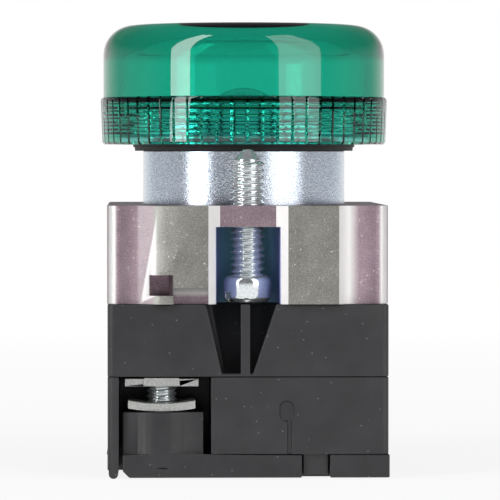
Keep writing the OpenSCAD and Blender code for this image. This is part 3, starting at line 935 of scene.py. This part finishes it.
@dataclass
class Head:
    """The plated head that the lens screws on, its barrel and its two rubber rings."""

    steps: int = 240
    thread_pitch: float = 0.75
    thread_depth: float = 0.35

    def build(self) -> None:
        """Builds the head with its outside thread, and dresses the rings."""
        low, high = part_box("head_body")
        head_r, top, bottom = high.x / MM, high.z / MM, low.z / MM
        bore = 9.4
        sunk = 10.95
        barrel = 11.15
        outline = [
            (bore, bottom),
            (sunk - 0.4, bottom),
            (sunk, bottom + 0.4),
            (sunk, -5.95),
            (barrel - 0.1, -5.95),
            (barrel, -5.85),
            (barrel, -0.08),
            (barrel - 0.08, 0.0),
            (10.85, 0.0),
            (10.85, 1.05),
            (head_r - 0.3, 1.05),
            (head_r, 1.35),
        ]
        z = 1.5
        while z + self.thread_pitch < top - 0.2:
            outline += [
                (head_r, z),
                (head_r - self.thread_depth, z + 0.4 * self.thread_pitch),
                (head_r - self.thread_depth, z + 0.5 * self.thread_pitch),
                (head_r, z + 0.9 * self.thread_pitch),
            ]
            z += self.thread_pitch
        outline += [
            (head_r, top - 0.3),
            (head_r - 0.3, top),
            (bore + 1.6, top),
            (bore, top - 1.6),
        ]
        Piece(
            "head_turned", Body.HEAD, "plated_steel", Finishes.BARREL, ("head_body",)
        ).make([turned(outline, self.steps)])
        Piece(
            "gasket_ring",
            Body.HEAD,
            "gasket_rubber",
            Finishes.RUBBER,
            ("panel_gasket",),
            bevel=0.05,
        ).make([frame_copy("panel_gasket")])
        Piece(
            "lens_seal_ring", Body.SEAL, "seal_rubber", Finishes.RUBBER, ("lens_seal",)
        ).make([frame_copy("lens_seal")])


# ---- collar and its screw


@dataclass
class Collar:
    """The die-cast fixing collar, the ring in it and its clamp screw."""

    screw_y: float = -15.4
    screw_r: float = 1.9
    screw_root: float = 1.5
    screw_pitch: float = 0.7
    head_top: float = -13.3
    thread_top: float = -1.15

    def build(self) -> None:
        """Builds the casting, the ring and the screw."""
        Piece(
            "collar_casting",
            Body.BASE,
            "zinc_casting",
            Finishes.CASTING,
            ("fixing_collar",),
            smooth_deg=20.0,
        ).make([frame_copy("fixing_collar")])
        keep_node("retaining_ring", Finishes.SPRING)
        self.clamp_screw()

    def clamp_screw(self) -> None:
        """Builds the clamp screw: its slotted head, rolled thread and pointed tip."""
        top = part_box("clamp_screw")[1].z / MM
        head = cut_flat(frame_copy("clamp_screw"), self.head_top + 0.1, True)
        thread = moved(
            threaded(
                self.screw_r, self.screw_root, self.screw_pitch, self.head_top, self.thread_top
            ),
            0,
            self.screw_y,
        )
        point = [
            (0.0, self.thread_top - 0.3),
            (self.screw_root - 0.05, self.thread_top - 0.3),
            (self.screw_root - 0.05, self.thread_top + 0.25),
            (1.22, self.thread_top + 0.25),
            (0.5, top),
            (0.0, top),
        ]
        nose = rounded(point, {2: 0.1, 4: 0.3})
        tip = moved(turned(nose, 48, closed=False), 0, self.screw_y)
        Piece(
            "clamp_screw_steel",
            Body.CLAMP,
            "screw_zinc",
            Finishes.SCREW,
            ("clamp_screw",),
            smooth_deg=30,
            bevel=0.07,
        ).make([head, thread, tip])


# ---- housings and terminals


@dataclass
class Housing:
    """The three black mouldings of the body and the lamp holder inside them."""

    edge: float = 0.12

    def build(self) -> None:
        """Breaks the mouldings' edges and dresses them."""
        parts = (
            ("upper_moulding", "housing_upper", "housing_plastic", Finishes.HOUSING),
            ("lower_moulding", "housing_lower", "housing_plastic", Finishes.HOUSING),
            ("cover_moulding", "rear_cover", "cover_plastic", Finishes.COVER),
        )
        for name, node, slot, finish in parts:
            Piece(
                name, Body.BASE, slot, finish, (node,), bevel=self.edge, bevel_segments=2
            ).make([frame_copy(node)])
        Piece(
            "holder_moulding",
            Body.BASE,
            "holder_plastic",
            Finishes.HOLDER,
            ("lamp_holder",),
        ).make([frame_copy("lamp_holder")])


@dataclass
class Terminal:
    """One screw terminal: plate, saddle washer and screw."""

    number: int
    x: float
    y: float
    washer_body: Body
    screw_body: Body
    thread_r: float = 1.7
    thread_root: float = 1.38
    thread_pitch: float = 0.6

    def build(self) -> None:
        """Builds the terminal's three pieces."""
        Piece(
            f"terminal_plate_steel_{self.number}",
            Body.BASE,
            "terminal_zinc",
            Finishes.PLATE,
            (f"terminal_plate_{self.number}",),
            bevel=0.07,
        ).make([frame_copy(f"terminal_plate_{self.number}")])
        Piece(
            f"saddle_washer_{self.number}",
            self.washer_body,
            "washer_zinc",
            Finishes.PLATE,
            (f"clamp_washer_{self.number}",),
            bevel=0.08,
        ).make([frame_copy(f"clamp_washer_{self.number}")])
        node = f"terminal_screw_{self.number}"
        low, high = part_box(node)
        head_top = low.z / MM + 1.9
        head = cut_flat(frame_copy(node), head_top + 0.05, True)
        thread = threaded(
            self.thread_r, self.thread_root, self.thread_pitch, head_top, high.z / MM - 0.1
        )
        Piece(
            f"terminal_screw_steel_{self.number}",
            self.screw_body,
            "screw_zinc",
            Finishes.SCREW,
            (node,),
            bevel=0.06,
        ).make([head, moved(thread, self.x, self.y)])


@dataclass
class LampFitting:
    """The lamp, its socket sleeve and the sprung contact under it."""

    finishes: dict[str, Finish] = field(
        default_factory=lambda: {
            "contact_spring": Finishes.SPRING,
            "lamp_button": Finishes.VITRITE,
            "lamp_tip": Finishes.SOLDER,
            "lamp_filament": Finishes.TUNGSTEN,
        }
    )

    def build(self) -> None:
        """Smooths the round pieces and dresses the rest."""
        rounds = (
            ("socket_sleeve", "bayonet_sleeve", Body.BASE, "contact_brass", Finishes.BRASS),
            ("contact_pin", "contact_plunger", Body.PLUNGER, "contact_brass", Finishes.BRASS),
            ("lamp_cap_brass", "lamp_cap", Body.LAMP, "cap_brass", Finishes.BRASS),
            ("lamp_bulb", "lamp_glass", Body.LAMP, "lamp_glass", Finishes.GLASS),
        )
        for name, node, body, slot, finish in rounds:
            Piece(name, body, slot, finish, (node,)).make([frame_copy(node)])
        for node, finish in self.finishes.items():
            keep_node(node, finish)


# ---- studio


@dataclass(frozen=True)
class SoftBox:
    """A tall soft lamp beside the camera.

    azimuth is measured from the camera's axis, positive to its right; width and
    height are metres; radiance is how bright its face is, where white is 1.
    """

    name: str
    azimuth: float
    width: float
    height: float
    radiance: float
    distance: float = 0.6
    lift: float = 0.62

    def build(self, heading: float) -> None:
        """Places the lamp.

        Args:
            heading: The camera's own azimuth, in degrees.
        """
        lamp = bpy.data.lights.new(self.name, "AREA")
        lamp.shape = "RECTANGLE"
        lamp.size, lamp.size_y = self.width, self.height
        lamp.energy = self.radiance * math.pi * self.width * self.height
        made = bpy.data.objects.new(self.name, lamp)
        angle = math.radians(heading + self.azimuth)
        made.location = (
            self.distance * math.sin(angle),
            -self.distance * math.cos(angle),
            self.lift,
        )
        made.rotation_euler = (math.pi / 2, 0, angle)
        made.visible_camera = False
        bpy.context.scene.collection.objects.link(made)


@dataclass
class Studio:
    """Floor, backdrop light, lamps and camera."""

    heading: float = -1.5
    distance: float = 0.455
    eye_z: float = -0.00035
    tip_down: float = 1.34
    side_step: float = 0.00069
    view_width: float = 0.05543
    sensor: float = 36.0
    lamps: tuple[SoftBox, ...] = (
        SoftBox("left_box", -52.2, 0.182, 1.32, 6.0),
        SoftBox("right_box", 46.5, 0.40, 1.32, 2.3),
    )

    def background_seen(self, tree: bpy.types.NodeTree) -> bpy.types.NodeSocket:
        """Returns 1 for rays that show the backdrop itself: camera, glossy and transmission."""
        path = add_node(tree, "LightPath")
        total = path.outputs["Is Camera Ray"]
        for other in ("Is Glossy Ray", "Is Transmission Ray"):
            total = calc(tree, "MAXIMUM", total, path.outputs[other])
        return total

    def floor(self) -> None:
        """Lays the pale floor under the part."""
        shell = bmesh.new()
        bmesh.ops.create_grid(shell, x_segments=1, y_segments=1, size=3.0)
        bmesh.ops.translate(shell, vec=(0, 0, CAD_BOX[0].z), verts=shell.verts)
        mesh = bpy.data.meshes.new("floor")
        shell.to_mesh(mesh)
        shell.free()
        made = bpy.data.materials.new("floor_paper_white")
        made.use_nodes = True
        tree = made.node_tree
        tree.nodes.clear()
        paper = add_node(tree, "BsdfDiffuse", inputs={"Color": linear("#f0f0f0")})
        glow = add_node(tree, "Emission", inputs={"Color": (1, 1, 1, 1), "Strength": 1.0})
        place = add_node(tree, "TexCoord").outputs["Object"]
        away = add_node(tree, "VectorMath", {"operation": "LENGTH"}, {0: place})
        clear = remap(tree, away.outputs["Value"], (0.06, 0.35), (0.86, 1.0))
        share = calc(tree, "MULTIPLY", self.background_seen(tree), clear)
        both = add_node(
            tree, "MixShader", inputs={0: share, 1: paper.outputs[0], 2: glow.outputs[0]}
        )
        add_node(tree, "OutputMaterial", inputs={"Surface": both.outputs[0]})
        mesh.materials.append(made)
        floor = bpy.data.objects.new("floor", mesh)
        bpy.context.scene.collection.objects.link(floor)

    def world(self) -> None:
        """Makes the room: white to the camera, and for reflections dark in front and above."""
        room = bpy.data.worlds.new("room")
        bpy.context.scene.world = room
        room.use_nodes = True
        tree = room.node_tree
        tree.nodes.clear()
        direction = add_node(tree, "TexCoord").outputs["Generated"]
        apart = add_node(tree, "SeparateXYZ", inputs={0: direction})
        behind = remap(tree, apart.outputs["Y"], (-1.0, 1.0))
        walls = ramp(
            tree,
            behind,
            [
                (0.08, "#38383a"),
                (0.3, "#505155"),
                (0.46, "#909398"),
                (0.8, "#aaadb2"),
                (0.96, "#ffffff"),
            ],
        )
        above = remap(tree, apart.outputs["Z"], (0.06, 0.3), (0.0, 0.85))
        shade = blend(tree, above, walls, linear("#3c3c3e"))
        path = add_node(tree, "LightPath")
        through = calc(tree, "MULTIPLY", path.outputs["Is Transmission Ray"], 0.7)
        seen_plainly = calc(tree, "MAXIMUM", path.outputs["Is Camera Ray"], through)
        white = add_node(tree, "Background", inputs={"Color": (1, 1, 1, 1), "Strength": 1.0})
        soft = add_node(tree, "Background", inputs={"Color": shade, "Strength": 1.0})
        fill = add_node(
            tree, "Background", inputs={"Color": linear("#c8cacc"), "Strength": 0.55}
        )
        lit = add_node(
            tree,
            "MixShader",
            inputs={0: path.outputs["Is Diffuse Ray"], 1: soft.outputs[0], 2: fill.outputs[0]},
        )
        seen = add_node(
            tree,
            "MixShader",
            inputs={0: seen_plainly, 1: lit.outputs[0], 2: white.outputs[0]},
        )
        add_node(tree, "OutputWorld", inputs={"Surface": seen.outputs[0]})

    def camera(self) -> None:
        """Sets the camera level with the panel's plane, at the clamp screw's end."""
        lens = bpy.data.cameras.new("camera")
        lens.sensor_width = self.sensor
        lens.lens = self.sensor * self.distance / self.view_width
        lens.clip_start, lens.clip_end = 0.01, 20.0
        made = bpy.data.objects.new("camera", lens)
        angle = math.radians(self.heading)
        back = Vector((math.sin(angle), -math.cos(angle), 0))
        side = Vector((math.cos(angle), math.sin(angle), 0))
        made.location = back * self.distance + side * self.side_step
        made.location.z = self.eye_z
        made.rotation_euler = (math.radians(90 - self.tip_down), 0, angle)
        bpy.context.scene.collection.objects.link(made)
        bpy.context.scene.camera = made

    def build(self) -> None:
        """Builds the studio and its plain view settings."""
        self.floor()
        self.world()
        for lamp in self.lamps:
            lamp.build(self.heading)
        self.camera()
        bpy.context.scene.view_settings.view_transform = "Standard"


def main() -> None:
    """Builds the light and the studio round it."""
    logging.basicConfig(level=logging.INFO)
    Studio().build()
    Lens().build()
    Head().build()
    Collar().build()
    Housing().build()
    Terminal(1, -9.2, -15.2, Body.WASHER_1, Body.SCREW_1).build()
    Terminal(2, 9.2, 15.2, Body.WASHER_2, Body.SCREW_2).build()
    LampFitting().build()


if __name__ == "__main__":
    main()
